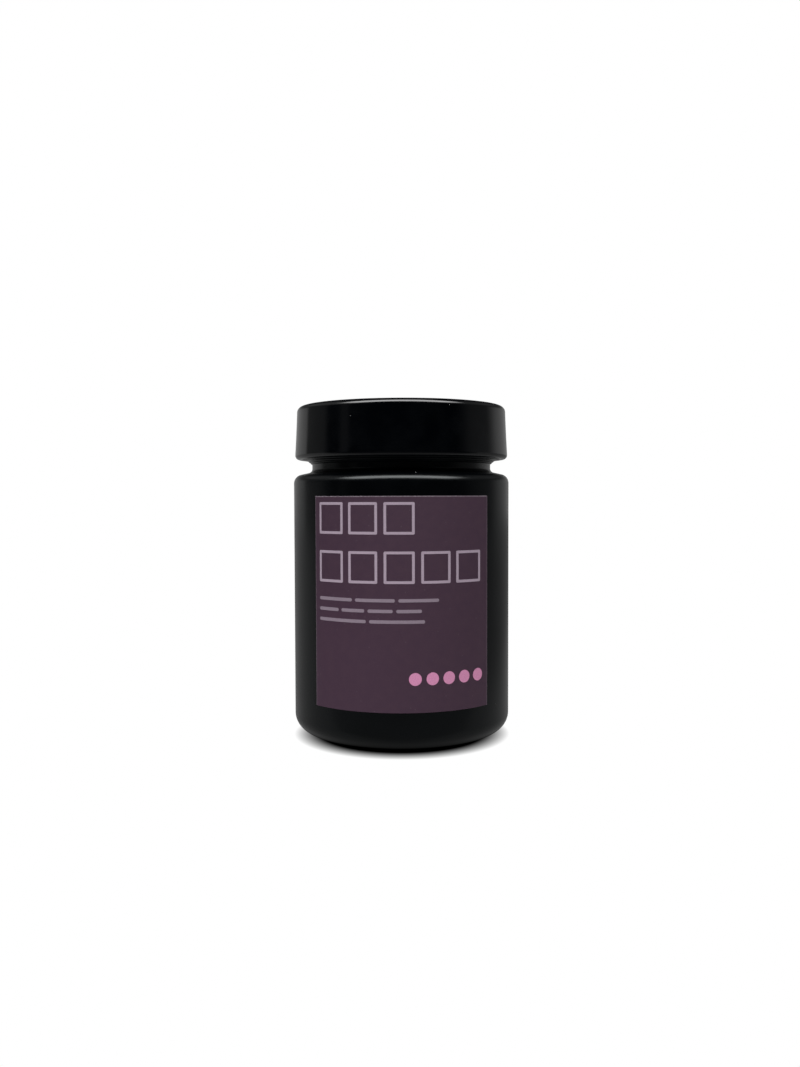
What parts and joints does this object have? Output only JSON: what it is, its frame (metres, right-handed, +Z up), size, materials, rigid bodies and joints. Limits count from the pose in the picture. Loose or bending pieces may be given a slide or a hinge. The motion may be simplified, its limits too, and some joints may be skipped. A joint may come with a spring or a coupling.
{
  "type": "jar of baba ganoush",
  "caption": "Shut jar of aubergine dip: straight-sided coated black glass, deep twist-off lid and a plain dark paper label.",
  "frame": {"origin": "middle of the bearing ring that the jar stands on", "axes": "+Z up the jar's axis to the lid; the label faces -Y"},
  "size_m": [0.0734, 0.074, 0.1102],
  "materials": {
    "coated_glass": "satin",
    "lacquered_metal": "gloss",
    "label_paper": "matte"
  },
  "bodies": {
    "root": {"jar": "coated_glass", "lid": "lacquered_metal", "label": "label_paper"}
  },
  "joints": []
}
